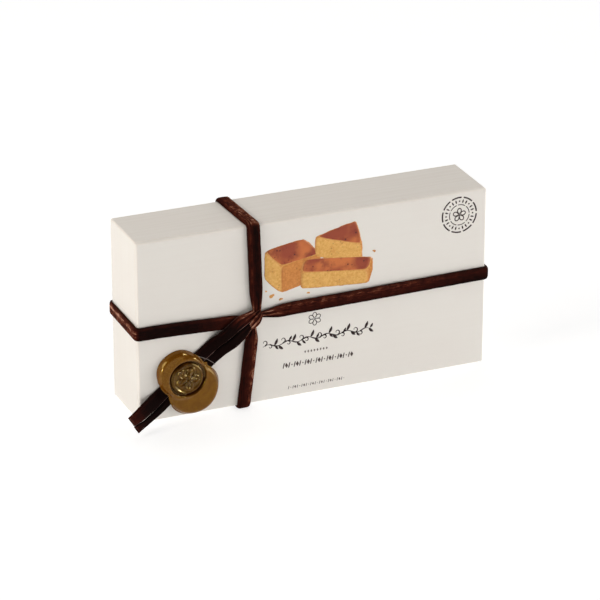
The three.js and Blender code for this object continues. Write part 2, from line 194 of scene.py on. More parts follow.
class Nodes:
    """Builds one material's nodes."""

    def __init__(self, name):
        self.material = bpy.data.materials.new(name)
        self.material.use_nodes = True
        self.tree = self.material.node_tree
        self.shader = self.tree.nodes["Principled BSDF"]
        self.place = self.add("ShaderNodeTexCoord").outputs["Object"]

    def add(self, kind, inputs=None, **settings):
        node = self.tree.nodes.new(kind)
        for key, value in settings.items():
            setattr(node, key, value)
        for key, value in (inputs or {}).items():
            self.set(node.inputs[key], value)
        return node

    def set(self, socket, value):
        if isinstance(value, bpy.types.NodeSocket):
            self.tree.links.new(value, socket)
        else:
            socket.default_value = value

    def shade(self, **inputs):
        for key, value in inputs.items():
            self.set(self.shader.inputs[key.replace("_", " ")], value)

    def scaled(self, scale):
        return self.add("ShaderNodeMapping", {"Vector": self.place, "Scale": scale}).outputs["Vector"]

    def noise(self, scale, detail, roughness, vector=None, distortion=0.0):
        inputs = {"Vector": vector or self.place, "Scale": scale, "Detail": detail}
        inputs.update({"Roughness": roughness, "Distortion": distortion})
        return self.add("ShaderNodeTexNoise", inputs).outputs["Fac"]

    def math(self, operation, *values):
        return self.add("ShaderNodeMath", dict(enumerate(values)), operation=operation).outputs[0]

    def spread(self, value, low, high, to_low=0.0, to_high=1.0, smooth=True):
        kind = "SMOOTHSTEP" if smooth else "LINEAR"
        inputs = {"Value": value, "From Min": low, "From Max": high, "To Min": to_low, "To Max": to_high}
        return self.add("ShaderNodeMapRange", inputs, interpolation_type=kind).outputs["Result"]

    def between(self, share, first, second):
        """A number between two others."""
        return self.add("ShaderNodeMix", {0: share, 2: first, 3: second}, data_type="FLOAT").outputs[0]

    def mix(self, share, first, second):
        """A colour between two others."""
        return self.add("ShaderNodeMix", {0: share, 6: first, 7: second}, data_type="RGBA").outputs[2]

    def ramp(self, value, stops):
        node = self.add("ShaderNodeValToRGB", {"Fac": value})
        while len(node.color_ramp.elements) < len(stops):
            node.color_ramp.elements.new(0.5)
        for element, (position, shade) in zip(node.color_ramp.elements, stops):
            element.position, element.color = position, shade
        return node.outputs["Color"]

    def mark(self, name):
        return self.add("ShaderNodeAttribute", attribute_name=name).outputs["Fac"]

    def bump(self, height, distance, strength):
        inputs = {"Height": height, "Distance": distance, "Strength": strength}
        return self.add("ShaderNodeBump", inputs).outputs["Normal"]


def colour(red, green, blue, gain=1.0):
    """A linear colour from 0 to 255 screen values."""
    linear = [((v / 255 + 0.055) / 1.055) ** 2.4 if v > 10 else v / 255 / 12.92 for v in (red, green, blue)]
    return (*[value * gain for value in linear], 1.0)


# ---- The wooden box ----

# Waves of the grain and the pores in each metre along x, y and z
GRAIN_ALONG, PORES_ALONG = (14, 520, 520), (60, 2600, 2600)
GRAIN_UP_ENDS, PORES_UP_ENDS = (300, 420, 16), (300, 2400, 70)
WASH_PALE, WASH_DARK = (0.83, 0.795, 0.745, 1), (0.70, 0.65, 0.585, 1)
WASH_WARM, WASH_WORN_AND_HIGHLIT_EDGE = (0.80, 0.745, 0.70, 1), (0.87, 0.81, 0.74, 1)
PORE_TONE = (0.60, 0.53, 0.46, 1)


def wood_material():
    nodes = Nodes("white_washed_wood")
    normal = nodes.add("ShaderNodeNewGeometry").outputs["Normal"]
    facing = nodes.add("ShaderNodeSeparateXYZ", {"Vector": normal}).outputs
    sideways, forwards, upwards = [nodes.math("ABSOLUTE", part) for part in facing]
    on_end = nodes.spread(sideways, 0.6, 0.8)
    on_side = nodes.spread(upwards, 0.6, 0.8)
    # Grain runs along the box, and up its two ends
    along = nodes.noise(1.0, 6.0, 0.62, nodes.scaled(GRAIN_ALONG), 0.4)
    fine = nodes.noise(1.0, 3.0, 0.6, nodes.scaled(PORES_ALONG))
    up_end = nodes.noise(1.0, 5.0, 0.6, nodes.scaled(GRAIN_UP_ENDS), 0.4)
    fine_end = nodes.noise(1.0, 3.0, 0.6, nodes.scaled(PORES_UP_ENDS))
    grain = nodes.between(on_end, along, up_end)
    pores = nodes.between(on_end, fine, fine_end)
    mottle = nodes.noise(38, 3.0, 0.55)
    # The printed face and the ends are sanded smoother than the long narrow sides
    clearness = nodes.spread(on_side, 0.0, 1.0, 0.05, 0.2, smooth=False)
    streaks = nodes.math("MULTIPLY", nodes.spread(grain, 0.36, 0.7), clearness)
    wash = nodes.mix(streaks, WASH_PALE, WASH_DARK)
    wash = nodes.mix(nodes.spread(mottle, 0.4, 0.65, 0.0, 0.22), wash, WASH_WARM)
    dark_pores = nodes.math("MULTIPLY", nodes.spread(pores, 0.62, 0.74, 0.0, 0.35), clearness)
    wash = nodes.mix(dark_pores, wash, PORE_TONE)
    # Lighter edges where the face turns: sanded wear, and a painted highlight where the rounded edges catch the
    # light
    flatness = nodes.math("MAXIMUM", nodes.math("MAXIMUM", sideways, forwards), upwards)
    wash = nodes.mix(nodes.spread(flatness, 0.995, 0.9, 0.0, 0.6), wash, WASH_WORN_AND_HIGHLIT_EDGE)
    nodes.shade(Base_Color=wash, Roughness=nodes.spread(grain, 0.3, 0.7, 0.5, 0.62))
    relief = nodes.math("ADD", nodes.math("MULTIPLY", grain, 0.7), nodes.math("MULTIPLY", pores, 0.3))
    relief = nodes.math("MULTIPLY", relief, clearness)
    nodes.shade(Normal=nodes.bump(relief, 0.00012, 0.35), Specular_IOR_Level=0.35)
    return nodes.material


# ---- The velvet ribbon ----

ROW_SPACING = 0.55
SELVAGE_HEIGHT = 0.32
LEAST_PILE = 0.3
PILE_STEPS = 36
UNDERSIDE_STEPS = 6
UNDERSIDE_REACH = 0.93  # of the half width
SELVAGE_REACH = 0.985
EDGE_WAVE, EDGE_WAVE_LENGTH = 0.1, 5.0
PLEATS, PLEAT_WANDER = 2.6, 9.0  # how many across, and how long they stay in line
PILE_FUZZ = ((0.04, 0.5), (0.05, 1.7), (0.05, 6))
# Painted light on the backs of the pleats, and painted shade in their creases
PLEAT_LIGHT, CREASE_SHADE = 0.5, 1.3
# The velvet's colour for each amount of painted light on its pile, from none to most
VELVET_TONES = (
    (0.0, (7, 2, 2)), (0.2, (19, 5, 4)), (0.42, (50, 15, 9)),
    (0.62, (82, 35, 22)), (0.8, (122, 76, 57)), (1.0, (178, 134, 114)),
)


def ribbon_section(low_pile, high_pile):
    """Once round the ribbon: the share of its half width, the height of the bare ground weave, the
    pile's height above that as a share of the most, and whether there is pile. The pile reaches to
    the given shares of the half width, and the rest is the bare selvage."""
    rows = []
    for step in range(UNDERSIDE_STEPS + 1):
        rows.append((lerp(-UNDERSIDE_REACH, UNDERSIDE_REACH, step / UNDERSIDE_STEPS), 0.0, 0.0, 0.0))
    rows += [(1.0, SELVAGE_HEIGHT / 2, 0.0, 0.0), (SELVAGE_REACH, SELVAGE_HEIGHT, 0.0, 0.0)]
    for step in range(PILE_STEPS + 1):
        angle = math.pi * step / PILE_STEPS
        across = math.copysign(abs(math.cos(angle)) ** 0.5, math.cos(angle))
        reach = high_pile if across > 0 else low_pile
        rows.append((reach * across, SELVAGE_HEIGHT, math.sin(angle) ** 0.8, 1.0))
    rows += [(-SELVAGE_REACH, SELVAGE_HEIGHT, 0.0, 0.0), (-1.0, SELVAGE_HEIGHT / 2, 0.0, 0.0)]
    return np.array(rows)


def stop(point, out, width, thickness, pleat, painted_pile_light, painted_glints_and_shade, pale=(0.0, 0.0), slant=0.0):
    """A stop on a ribbon's way: the middle of its underside, the way out of it, its width and
    thickness, how deep it is pleated, how much painted light its pile has, painted glints of sheen
    that each have an amount (painted shade where it is below nought), a place across the ribbon and
    a spread, how pale its two selvages are, and how far it is slanted for each millimetre across."""
    return point, out, width, thickness, pleat, painted_pile_light, painted_glints_and_shade, pale, slant


def add_ribbon(name, way, seed, replaced, pile=(0.945, 0.945), across=None, roughness=1.0):
    """Carries the section along a way of stops. The ribbon's width lies along across, or else
    square to its way."""
    section = ribbon_section(*pile)
    share, ground, height, on_pile = section.T
    flat_section = np.stack([share * RIBBON_WIDTH / 2, ground + height * (RIBBON_THICKNESS - SELVAGE_HEIGHT)], -1)
    section_run = unit(np.roll(flat_section, -1, 0) - np.roll(flat_section, 1, 0))
    points, outs, widths, thicknesses, pleats, painted_pile_lights, painted_glints_and_shade, pale, slants = zip(*way)
    points, pale = np.array(points, float), np.array(pale, float)
    widths, thicknesses, pleats, painted_pile_lights, slants = [
        np.array(values, float)[:, None] for values in (widths, thicknesses, pleats, painted_pile_lights, slants)]
    along, outs = unit(np.gradient(points, axis=0)), unit(np.array(outs, float))
    across = unit(np.cross(outs, along)) if across is None else np.broadcast_to(across, points.shape)
    outs = unit(np.cross(along, across))
    count, sides = len(points), len(section)
    waves = EDGE_WAVE * np.stack([lumps(points, EDGE_WAVE_LENGTH, seed + side) for side in (1, 2)], -1)
    sideways = share * widths / 2 + np.where(share > 0, waves[:, [0]], waves[:, [1]]) * np.abs(share)
    # Pleats open out along the ribbon: painted light on their backs, painted shade in their creases
    phase = 0.5 * lumps(points, PLEAT_WANDER, seed + 6)[:, None]
    crease = 0.5 + 0.5 * np.cos(2 * math.pi * (PLEATS * (share[None] + 1) / 2 + phase))
    crease = crease * pleats * height
    painted_pile_lights = np.broadcast_to(painted_pile_lights + (PLEAT_LIGHT * pleats - CREASE_SHADE * crease), (count, sides)).copy()
    # Painted glints of sheen across the pile, and painted shade where their amount is below nought
    for row, row_painted_glints in enumerate(painted_glints_and_shade):
        for amount, place, spread in row_painted_glints:
            painted_pile_lights[row] += amount * bell(share, place, spread)
    rise = ground + height * np.maximum(thicknesses - SELVAGE_HEIGHT - crease, LEAST_PILE)
    body = points[:, None] + across[:, None] * sideways[..., None] + outs[:, None] * rise[..., None]
    body = body + along[:, None] * (sideways * slants)[..., None]
    fuzz = uneven(body.reshape(-1, 3), PILE_FUZZ, seed + 3).reshape(count, sides) * on_pile * roughness
    skin_out = across[:, None] * section_run[None, :, [1]] - outs[:, None] * section_run[None, :, [0]]
    body = (body + skin_out * fuzz[..., None]).reshape(-1, 3)
    is_pile = (on_pile > 0) & (np.roll(on_pile, -1) > 0)
    kinds = [*np.where(np.tile(is_pile, count - 1), 0, 1), 0, 0]
    marks = {
        "across": np.broadcast_to(share, (count, sides)),
        "along": np.broadcast_to(reached(points)[:, None], (count, sides)),
        "painted_pile_light": painted_pile_lights,
        "pale": np.where(share > 0, pale[:, [1]], pale[:, [0]]) * (np.abs(share) > 0.8),
    }
    faces = outward(body, tube_faces(count, sides))
    piece = add_mesh(name, body, faces, [VELVET, SELVAGE], kinds, marks)
    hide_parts(replaced)


def velvet_material():
    nodes = Nodes("dark_brown_velvet")
    painted_pile_light, across, along = nodes.mark("painted_pile_light"), nodes.mark("across"), nodes.mark("along")
    strip = {"X": nodes.math("MULTIPLY", along, 0.2), "Y": nodes.math("MULTIPLY", across, 5.5)}
    hairs = nodes.noise(1.0, 3.0, 0.6, nodes.add("ShaderNodeCombineXYZ", strip).outputs[0], 0.3)
    patches = nodes.noise(260, 3.0, 0.55, distortion=0.6)
    specks = nodes.noise(1900, 2.0, 0.7)
    flecks = 0.0
    for noises, most in ((hairs, 0.15), (patches, 0.1), (specks, 0.04)):
        flecks = nodes.math("ADD", flecks, nodes.spread(noises, 0.3, 0.7, -most, most, smooth=False))
    # The more light is painted on the pile, the more its unevenness shows, but for the very brightest
    contrast = nodes.spread(painted_pile_light, 0.42, 0.64, 0.5, 2.6, smooth=False)
    contrast = nodes.math("MULTIPLY", contrast, nodes.spread(painted_pile_light, 0.66, 0.84, 1.0, 0.45))
    light = nodes.math("MULTIPLY_ADD", flecks, contrast, painted_pile_light)
    tone = nodes.ramp(light, [(place, colour(*shade)) for place, shade in VELVET_TONES])
    nodes.shade(Base_Color=tone, Roughness=0.9, Specular_IOR_Level=0.03)
    nodes.shade(Sheen_Weight=0.07, Sheen_Roughness=0.35, Sheen_Tint=(0.75, 0.3, 0.2, 1))
    nodes.shade(Normal=nodes.bump(nodes.noise(3200, 2.0, 0.7), 0.00025, 0.5))
    return nodes.material


def selvage_material():
    nodes = Nodes("ribbon_selvage")
    threads = nodes.noise(2600, 2.0, 0.6)
    dark = nodes.mix(threads, colour(24, 12, 10), colour(58, 34, 28))
    pale = nodes.mix(threads, colour(116, 82, 74), colour(168, 130, 120))
    nodes.shade(Base_Color=nodes.mix(nodes.mark("pale"), dark, pale), Roughness=0.7, Specular_IOR_Level=0.2)
    nodes.shade(Sheen_Weight=0.05, Sheen_Roughness=0.4, Normal=nodes.bump(threads, 0.0001, 0.5))
    return nodes.material


# ---- The bands round the box ----

CORNER_STEPS = 8
FULL_SHAPE = (RIBBON_WIDTH, RIBBON_THICKNESS, 0.0, 0.0)
ARM_PLEATS = 0.42
# How far from the knot an arm narrows to, swells from and to, and is pleated from and to
NARROWEST, SWELLS, PLEATED = 1.5, (14, 26), (3, 15)
LEFT_ARM = {"least": 0.6, "until": 14, "length": BOX_LENGTH / 2 + KNOT_X}
RIGHT_ARM = {"least": 0.42, "until": 18, "length": BOX_LENGTH / 2 - KNOT_X}
UPPER_ARM = {"least": 0.62, "until": 17, "length": BOX_HEIGHT - KNOT_Z}
LOWER_ARM = {"least": 0.34, "until": 14, "length": KNOT_Z}
LEFT_SAG, LEFT_SAG_LENGTH, RIGHT_SAG = 2, 60, 0.4
FLAT_PASS = 1.35  # how thick the ribbon is where it is drawn tight behind the left end
UPPER_ARM_X = (-33.4, -35.1)  # at the knot and at the top edge
LOWER_ARM_X = (-35.1, -41.2)  # and at the bottom edge
BACK_TOP_X = -36.6
BACK_BOTTOM_X = -40.4
CROSSING_LIFT = RIBBON_THICKNESS + CLEARANCE
CROSSING = (5, 16)  # how far from the other band the lift begins to end, and has ended


def girdle(reach_u, reach_v, start, end):
    """Places and outward directions along a band's way round the box, in the band's own plane. u runs
    along the lid and v out of its back; the way first goes towards -u."""
    radius = EDGE_RADIUS + CLEARANCE
    u, v = reach_u + CLEARANCE - radius, reach_v + CLEARANCE - radius
    places, turns = [(start, -v - radius)], [-90.0]
    for centre_u, centre_v, turn in ((-u, -v, -90), (-u, v, -180), (u, v, -270), (u, -v, -360)):
        for degrees in np.linspace(turn, turn - 90, CORNER_STEPS + 1):
            angle = math.radians(degrees)
            places.append((centre_u + radius * math.cos(angle), centre_v + radius * math.sin(angle)))
            turns.append(degrees)
    places, turns = np.array([*places, (end, -v - radius)]), [*turns, -450.0]
    lengths = reached(places)
    samples = np.linspace(0, lengths[-1], int(lengths[-1] / ROW_SPACING))
    angles = np.radians(np.interp(samples, lengths, turns))
    us, vs = [np.interp(samples, lengths, places[:, axis]) for axis in (0, 1)]
    return zip(us, vs, np.cos(angles), np.sin(angles))


def arm_shape(distance, least, until, length):
    """What the knot does to an arm of a band on the lid: its width, thickness, lift and pleats."""
    width = RIBBON_WIDTH * lerp(least, 1, smoothstep(distance, NARROWEST, until))
    thickness = lerp(PRESSED, RIBBON_THICKNESS, smoothstep(distance, *SWELLS))
    lift = ARM_LIFT * max(1 - distance / length, 0)
    return width, thickness, lift, ARM_PLEATS * (1 - smoothstep(distance, *PLEATED))


def long_way():
    way = []
    path = girdle(BOX_LENGTH / 2, MIDDLE_Y, KNOT_X - ARM_START["left"], KNOT_X + ARM_START["right"])
    for u, v, out_u, out_v in path:
        on_lid = v < 0 and out_v < -0.9
        left = u < KNOT_X
        distance = abs(u - KNOT_X)
        shape = arm_shape(distance, **(LEFT_ARM if left else RIGHT_ARM)) if on_lid else FULL_SHAPE
        width, thickness, lift, pleat = shape
        if left:
            on_end = smoothstep(-out_u, 0.3, 0.9)
            behind = on_end * smoothstep(v, -MIDDLE_Y, MIDDLE_Y)
            thickness = lerp(thickness, FLAT_PASS, behind)
            sag = LEFT_SAG * (1 - smoothstep(distance, 0, LEFT_SAG_LENGTH)) if on_lid else 0
            towards_knot = 1 - smoothstep(distance, 14, 38) if on_lid else 0
            # Painted light: the pile lighter towards the knot and on the end of the box, a painted highlight streak
            # along the end that grows towards the back, painted shade along one edge there, and painted sheen along
            # one rim on the lid
            painted_pile_light = lerp(lerp(0.19, 0.38, towards_knot), 0.53, on_end)
            painted_glints_and_shade = ((lerp(0.1, 0.5, behind) * on_end, -0.36, 0.2), (-0.12 * on_end, -0.95, 0.2),
                      (0.12 * (1 - on_end), -0.8, 0.2))
        else:
            near_knot = smoothstep(distance, 2, 5) * (1 - smoothstep(distance, 12, 24)) if on_lid else 0
            sag = RIGHT_SAG * near_knot
            # Painted light: the pile painted darker towards the right end, a painted highlight streak near the
            # knot, painted sheen along one rim and painted shade along the other
            painted_pile_light = lerp(0.42, 0.29, smoothstep(u, 55, 90))
            painted_glints_and_shade = ((0.3 * near_knot, 0.25, 0.14), (0.12, -0.6, 0.3), (-0.14, 0.75, 0.25))
        point = (u, v - lift + MIDDLE_Y, BAND_HEIGHT + BAND_TILT * u - sag)
        way.append(stop(point, (out_u, out_v, 0), width, thickness, pleat, painted_pile_light, painted_glints_and_shade))
    return way


def short_way_x(z, v, on_back):
    if on_back:
        return lerp(BACK_BOTTOM_X, BACK_TOP_X, z / BOX_HEIGHT)
    if v < 0 and KNOT_Z < z < BOX_HEIGHT:
        return lerp(*UPPER_ARM_X, (z - KNOT_Z) / (BOX_HEIGHT - KNOT_Z))
    if v < 0 and 0 < z <= KNOT_Z:
        return lerp(LOWER_ARM_X[1], LOWER_ARM_X[0], z / KNOT_Z)
    back = v / BOX_DEPTH + 0.5
    return lerp(UPPER_ARM_X[1], BACK_TOP_X, back) if z > KNOT_Z else lerp(LOWER_ARM_X[1], BACK_BOTTOM_X, back)


def short_way():
    way = []
    middle = BOX_HEIGHT / 2 - KNOT_Z
    path = girdle(BOX_HEIGHT / 2, MIDDLE_Y, middle - ARM_START["upper"], middle + ARM_START["lower"])
    for u, v, out_u, out_v in path:
        z = BOX_HEIGHT / 2 - u
        on_back, on_lid = out_v > 0.9, v < 0 and out_v < -0.9
        upper = z > KNOT_Z
        distance = abs(z - KNOT_Z)
        shape = arm_shape(distance, **(UPPER_ARM if upper else LOWER_ARM)) if on_lid else FULL_SHAPE
        width, thickness, lift, pleat = shape
        crossing = CROSSING_LIFT * (1 - smoothstep(abs(z - BAND_HEIGHT), *CROSSING)) if on_back else 0
        near_knot = 1 - smoothstep(distance, 3, 14) if on_lid else 0
        if upper:
            on_top = smoothstep(-out_u, 0.3, 0.9)
            behind = on_top * smoothstep(v, 0, MIDDLE_Y)
            # Painted light: the pile lighter near the knot and on the top of the box, less so towards the back;
            # painted sheen along one rim on the lid and along the other rim everywhere, and painted shade along one
            # edge on the top
            painted_pile_light = lerp(lerp(0.22, 0.5, near_knot), lerp(0.6, 0.46, behind), on_top)
            painted_glints_and_shade = ((0.26 * (1 - on_top), 0.62, 0.34), (0.15, -0.78, 0.26), (-0.14 * on_top, 0.9, 0.2))
        else:
            # Painted sheen along one rim, and a painted shadow along the other side, darker near the knot where the
            # tails overhang
            painted_pile_light = 0.44
            painted_glints_and_shade = ((0.2, -0.62, 0.3), (-0.14 - 0.1 * near_knot, 0.6, 0.4))
        point = (short_way_x(z, v, on_back), v - lift + crossing + MIDDLE_Y, z)
        way.append(stop(point, (0, out_v, -out_u), width, thickness, pleat, painted_pile_light, painted_glints_and_shade))
    return way


# ---- The tails ----

TAIL_START = np.array([-37.5, 0, 49.7])
TAIL_ANGLE = math.radians(37.2)
TAIL_LENGTH = 82.5
TAIL_UNDER_KNOT = 4
TAIL_LONGER = 0.9  # how much further the lower tail reaches, because both are cut aslant
TAIL_SLANT = 0.13
TAIL_GAP = 0.1
TAIL_OVER_BANDS = 2.8
TAIL_FREE_FROM = 62
TAIL_CURL = 9.5
TAIL_CURL_POWER = 1.7
TAIL_SWERVE = 0.62
TAIL_SPACING = 0.45
TAIL_ALONG = np.array([-math.cos(TAIL_ANGLE), 0, -math.sin(TAIL_ANGLE)])
TAIL_UP = np.array([-math.sin(TAIL_ANGLE), 0, math.cos(TAIL_ANGLE)])

# To the side of the line from the knot: the upper tail's upper edge, the gap between the tails and
# the lower tail's lower edge. Each has where it starts, and then how far it moves and between which
# two distances from the knot.
UPPER_EDGE = (3.9, (3.6, -7, 6), (-0.7, 26, 61), (-1, TAIL_FREE_FROM, TAIL_LENGTH))
GAP = (-0.3, (0.75, 2, 10), (-0.6, 18, 27), (-1.8, 44, 70), (1.35, 76, TAIL_LENGTH + 1))
LOWER_EDGE = (-2.8, (-3.15, -3, 10), (0.35, 68, TAIL_LENGTH))


def tail_line(line, distance):
    start, *moves = line
    return start + sum(amount * smoothstep(distance, low, high) for amount, low, high in moves)


def tail_thickness(distance):
    beside_knot = lerp(PRESSED, RIBBON_THICKNESS, smoothstep(distance, 2, 16))
    under_seal = smoothstep(distance, 22, 28) * (1 - smoothstep(distance, 61, 66))
    return lerp(beside_knot, PRESSED, under_seal)


def tail(upper):
    first, last = (-TAIL_UNDER_KNOT if upper else 0), TAIL_LENGTH + (0 if upper else TAIL_LONGER)
    way = []
    for distance in np.linspace(first, last, int((last - first) / TAIL_SPACING)):
        inner = tail_line(GAP, distance) + (TAIL_GAP / 2 if upper else -TAIL_GAP / 2)
        outer = tail_line(UPPER_EDGE if upper else LOWER_EDGE, distance)
        free = max(distance - TAIL_FREE_FROM, 0) / (TAIL_LENGTH - TAIL_FREE_FROM)
        curl = TAIL_CURL * free ** TAIL_CURL_POWER
        stand_off = lerp(TAIL_OVER_BANDS, CLEARANCE, smoothstep(distance, 14, 24)) + curl
        point = TAIL_START + TAIL_ALONG * distance + TAIL_UP * (TAIL_SWERVE * curl + (inner + outer) / 2)
        point = point - np.array([0, stand_off, 0])
        very_end = smoothstep(distance, TAIL_LENGTH - 12, TAIL_LENGTH)
        near_knot = 1 - smoothstep(distance, 12, 24)
        # Painted light on the pile towards the very end and near the knot, more on the upper tail
        painted_pile_light = 0.13 + (0.28 if upper else 0.16) * very_end
        painted_pile_light += (0.4 if upper else 0.1) * (1 - smoothstep(distance, 0, 13))
        paleness = lerp(lerp(1.0, 0.3, smoothstep(distance, 25, 62)), 1.0, very_end)
        pale = (0.05, paleness) if upper else (0.2 * paleness, lerp(0.05, 0.8, near_knot))
        pleat = 0.3 * (1 - smoothstep(distance, 3, 13))
        # Painted sheen along one rim of the upper tail, and a painted highlight line along the lower tail near the
        # knot
        painted_glints_and_shade = ((0.1, -0.8, 0.25),) if upper else ((lerp(0.05, 0.6, near_knot), 0.8, 0.1),)
        width, thickness = abs(outer - inner), tail_thickness(distance)
        way.append(stop(point, (0, -1, 0), width, thickness, pleat, painted_pile_light, painted_glints_and_shade, pale, TAIL_SLANT * very_end))
    return way


# ---- The knot ----

KNOT_ROWS, KNOT_SIDES = 80, 120
KNOT_MIDDLE = np.array([KNOT_X, -CLEARANCE, KNOT_Z]) + (0.4, 0, -0.3)
KNOT_LENGTH = 10.6
KNOT_LEAN = math.radians(34)
KNOT_HALF_WIDTH = 3.3
KNOT_RISE = 4.9
KNOT_TAPER = 0.93  # 1 would end it in points
KNOT_END_RISE = 0.45  # a share of its rise, at a point
KNOT_UNDERSIDE = 0.35  # 1 is round, and less is squarer
KNOT_FOLDS = 7
KNOT_TWIST = 2.2
KNOT_FUZZ = ((0.05, 0.6), (0.08, 1.8))


def add_knot():
    axis = np.array([-math.sin(KNOT_LEAN), 0, -math.cos(KNOT_LEAN)])
    across = np.array([-math.cos(KNOT_LEAN), 0, math.sin(KNOT_LEAN)])
    place = np.linspace(-1, 1, KNOT_ROWS + 1)[:, None]
    angle = (np.arange(KNOT_SIDES)[None] + 0.5) / KNOT_SIDES * 2 * math.pi
    winding = KNOT_FOLDS * angle + KNOT_TWIST * place
    valley = 0.5 - 0.5 * np.cos(winding)
    pleat = 0.5 - 0.5 * np.cos(2 * winding + 1.4 * np.sin(1.7 * place + angle))
    fold = 1 - 0.09 * valley - 0.1 * valley ** 3 - 0.06 * pleat
    swell = np.sqrt(1 - (KNOT_TAPER * place) ** 2)
    blunt = np.where(np.sin(angle) < 0, KNOT_UNDERSIDE, 1)
    sideways = KNOT_HALF_WIDTH * swell * fold * np.sign(np.cos(angle)) * np.abs(np.cos(angle)) ** blunt
    rise = KNOT_RISE / 2 * lerp(KNOT_END_RISE, 1, swell) * (1 + fold * np.sin(angle))
    body = KNOT_MIDDLE + axis * place[..., None] * KNOT_LENGTH / 2 + across * sideways[..., None]
    body = body - np.array([0, 1, 0]) * rise[..., None]
    away = unit(body - body.mean(1, keepdims=True)).reshape(-1, 3)
    flat = body.reshape(-1, 3)
    flat = flat + away * uneven(flat, KNOT_FUZZ, 31)[:, None]
    # Painted light on the ridges of the folds, painted shade in their valleys and pleats, lighter towards one end,
    # and uneven at random
    painted_pile_lights = 0.84 - 0.42 * valley ** 1.5 - 0.22 * pleat + 0.13 * place
    marks = {"painted_pile_light": painted_pile_lights.ravel() + 0.12 * lumps(flat, 1.6, 33), "across": winding / 3, "along": flat[:, 2]}
    faces = outward(flat, tube_faces(KNOT_ROWS + 1, KNOT_SIDES))
    piece = add_mesh("velvet_knot", flat, faces, [VELVET], marks=marks)
    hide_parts("ribbon_knot")


# ---- The wax seal ----

SEAL_SIDES, SEAL_RINGS = 300, 120
SEAL_FLOW = ((0.10, 4.5), (0.035, 1.1))
SEAL_ROLL = 1.9  # how far in from its edge the whole is rounded
SEAL_BLEND = 0.6
DISC, DISC_RISE, DISC_ROLL = (np.array([-77.1, 25.2]), 13.1), 3.7, 2.6
PUDDLE, PUDDLE_RISE, PUDDLE_ROLL = (np.array([-69.6, 14.9]), 14.6), 2.9, 3.2
STAMP = np.array([-73.8, 22.5])
STAMP_RADIUS = 10.2
STAMPED_HEIGHT = 3.0
RIM_RADIUS, RIM_WIDTH = 11.5, 1.35
GROOVE_RADIUS, GROOVE_DEPTH = 9.6, 2.1
BLOSSOM_RING = 8.0
DRIP = np.array([-63.3, 29.0])
DRIP_REACH, DRIP_RISE = 1.5, 1.3
CHANNEL_HALF_WIDTH, CHANNEL_SIDE, CHANNEL_SPARE = 7.5, 0.7, 0.25


def circle_reach(circle, angle):
    """How far it is from the middle of the stamp to a circle round it."""
    centre, radius = circle
    x, z = centre - STAMP
    towards = x * np.cos(angle) + z * np.sin(angle)
    return towards + np.sqrt(radius ** 2 - x * x - z * z + towards * towards)


def seal_reach(angle):
    disc, puddle = circle_reach(DISC, angle), circle_reach(PUDDLE, angle)
    joined = (disc + puddle + np.hypot(disc - puddle, 2 * SEAL_BLEND)) / 2
    joined += 0.25 * np.sin(3 * angle + 0.7) + 0.15 * np.sin(7 * angle + 2)
    return joined + DRIP_REACH * bell(angle, math.atan2(*(DRIP - STAMP)[::-1]), 0.09)


def dome(distance, height, roll):
    """How high a pool of wax stands, by how far in from its edge: steep and round at first."""
    share = np.clip(distance / roll, 0, 1)
    return height * np.sqrt(1 - (1 - share) ** 2)


def blossom(distance, angle):
    """A five-petalled flower inside a worn ring, pressed up out of the stamped field."""
    petal = 2.5 * angle + 0.4
    outer = 3.2 + 3.8 * np.abs(np.cos(petal)) ** 0.6
    petals = 0.85 * (1 - smoothstep(distance, outer - 0.9, outer + 0.2))
    vein = bell(np.abs(np.sin(petal)) * distance, 0, 0.5) * smoothstep(distance, 1.8, 3.6)
    cup = -0.75 * bell(distance, outer - 2.3, 1.3)
    eye = -0.5 * bell(distance, 0, 0.9) + 0.45 * bell(distance, 1.5, 0.45)
    ring = (0.5 + 0.25 * np.sin(3 * angle + 1)) * bell(distance, BLOSSOM_RING, 0.5)
    worn = 0.12 * np.sin(1.9 * distance + 2 * np.sin(3 * angle)) * smoothstep(distance, 2, 5)
    return petals + petals * (0.5 * vein + cup) + eye + ring + worn


def groove(distance, angle):
    """The trench that the stamp's edge left, from 0 to 1: not quite round, narrow on the left, and
    wide on the lower right."""
    lower_right = 0.5 + 0.5 * np.cos(angle + 0.6)
    radius = GROOVE_RADIUS + 0.22 * np.sin(2 * angle + 1.0) + 0.12 * np.sin(5 * angle + 0.4)
    steep = 1 - np.abs(distance - radius) / lerp(0.6, 1.15, lower_right)
    return np.clip(steep, 0, 1) * lerp(0.75, 1, lower_right)


def from_stamp(spots):
    """The distance and the angle of places on the lid, from the middle of the stamp."""
    offset = spots - STAMP
    return np.linalg.norm(offset, axis=-1), np.arctan2(offset[..., 1], offset[..., 0])


def seal_height(x, z):
    spot = np.stack([x, z], -1)
    distance, angle = from_stamp(spot)
    in_disc, in_puddle = [radius - np.linalg.norm(spot - centre, axis=-1) for centre, radius in (DISC, PUDDLE)]
    disc, puddle = dome(in_disc, DISC_RISE, DISC_ROLL), dome(in_puddle, PUDDLE_RISE, PUDDLE_ROLL)
    height = np.log(np.exp(disc * 3) + np.exp(puddle * 3)) / 3 - 0.12
    # The stamp presses a field down and pushes a rim up round it, most on the lower right
    rim = RIM_RADIUS + 0.3 * np.sin(angle * 2 + 0.6) + 0.15 * np.sin(angle * 5)
    height += (0.75 + 0.4 * np.cos(angle + 0.6)) * bell(distance, rim, RIM_WIDTH) * smoothstep(in_disc, -2.5, 0.8)
    height += DRIP_RISE * bell(np.linalg.norm(spot - DRIP, axis=-1), 0, 1.3)
    pressed = 1 - smoothstep(distance, STAMP_RADIUS - 0.55, STAMP_RADIUS + 0.35)
    height = lerp(height, STAMPED_HEIGHT + blossom(distance, angle), pressed)
    return height - GROOVE_DEPTH * groove(distance, angle)


